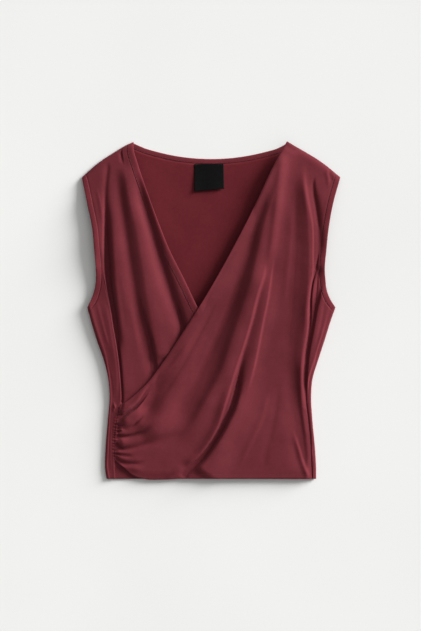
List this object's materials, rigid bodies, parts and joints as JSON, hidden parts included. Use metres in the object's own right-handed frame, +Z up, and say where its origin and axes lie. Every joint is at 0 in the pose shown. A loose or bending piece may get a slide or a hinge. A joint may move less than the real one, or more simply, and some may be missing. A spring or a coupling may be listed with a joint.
{
  "type": "wrap top",
  "caption": "Sleeveless crepe wrap top laid flat, with a V neck, an overlap gathered into the side seam, bound armholes and a blank neck label.",
  "frame": {"origin": "centre of the garment's flat outline, on the surface that it lies on", "axes": "+Y from the hem to the neck, +X to the viewer's right, +Z up out of the front of the garment"},
  "size_m": [0.4124, 0.5392, 0.0184],
  "materials": {
    "crepe": "burgundy crepe jersey with a soft sheen",
    "binding": "the same crepe, folded over and stitched as edge strips",
    "label": "black woven satin tape, blank"
  },
  "bodies": {
    "root": {"back_panel": "crepe", "front_under": "crepe", "front_over": "crepe", "neck_band_under": "binding", "back_neck_binding": "binding", "armhole_band_left": "binding", "armhole_band_right": "binding", "label": "label"}
  },
  "joints": []
}
